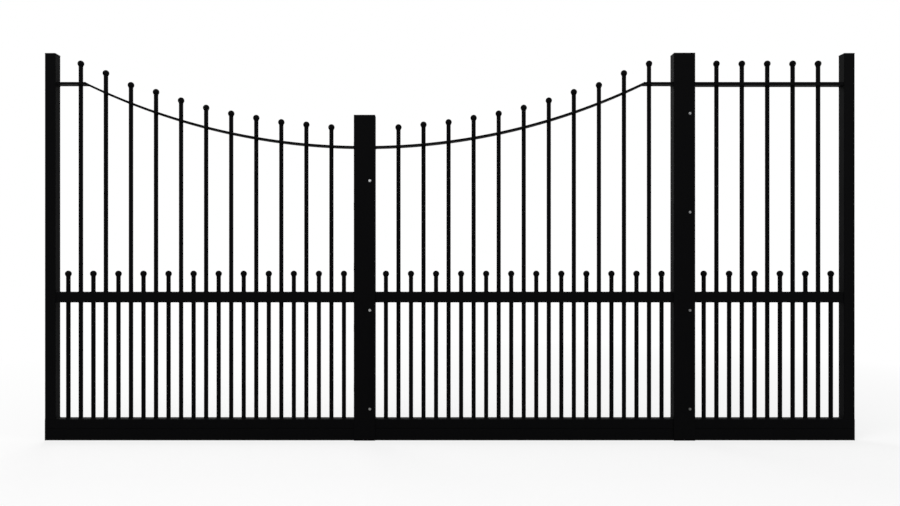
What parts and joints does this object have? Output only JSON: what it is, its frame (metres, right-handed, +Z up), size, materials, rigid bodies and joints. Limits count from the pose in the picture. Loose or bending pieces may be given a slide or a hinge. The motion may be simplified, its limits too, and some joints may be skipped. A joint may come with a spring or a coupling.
{
  "type": "sliding gate leaf",
  "caption": "Black steel sliding gate leaf: upright round bars with ball tops under a hanging arch, square stiles and a roller channel along the foot.",
  "frame": {"origin": "mid-length and mid-depth of the leaf, level with the underside of its roller channel", "axes": "+X along the leaf from the closing end to the tail end, +Y from the front to the back, +Z up"},
  "size_m": [4.18, 0.06, 2],
  "materials": {
    "black_steel": "satin black powder coat with a fine orange peel",
    "black_plastic": "moulded black plastic, matt",
    "zinc_steel": "dull zinc-plated steel"
  },
  "bodies": {
    "root": {"arch_rail_left": "black_steel", "arch_rail_middle": "black_steel", "beam_cap_left": "black_plastic", "beam_cap_right": "black_plastic", "bottom_rail": "black_steel", "cap_left_section_inner": "black_plastic", "cap_left_section_outer": "black_plastic", "cap_middle_section_left": "black_plastic", "cap_middle_section_right": "black_plastic", "cap_tail_section_inner": "black_plastic", "cap_tail_section_outer": "black_plastic", "joint_plate_1": "black_steel", "joint_plate_2": "black_steel", "long_bar_balls_left": "black_steel", "long_bar_balls_middle": "black_steel", "long_bar_balls_tail": "black_steel", "long_bars_left": "black_steel", "long_bars_middle": "black_steel", "long_bars_tail": "black_steel", "mid_rail_left": "black_steel", "mid_rail_middle": "black_steel", "mid_rail_tail": "black_steel", "roller_channel": "black_steel", "short_bar_balls_left": "black_steel", "short_bar_balls_middle": "black_steel", "short_bar_balls_tail": "black_steel", "short_bars_left": "black_steel", "short_bars_middle": "black_steel", "short_bars_tail": "black_steel", "stile_left_section_inner": "black_steel", "stile_left_section_outer": "black_steel", "stile_middle_section_left": "black_steel", "stile_middle_section_right": "black_steel", "stile_tail_section_inner": "black_steel", "stile_tail_section_outer": "black_steel", "top_rail_left": "black_steel", "top_rail_middle": "black_steel", "top_rail_tail": "black_steel"}
  },
  "joints": []
}
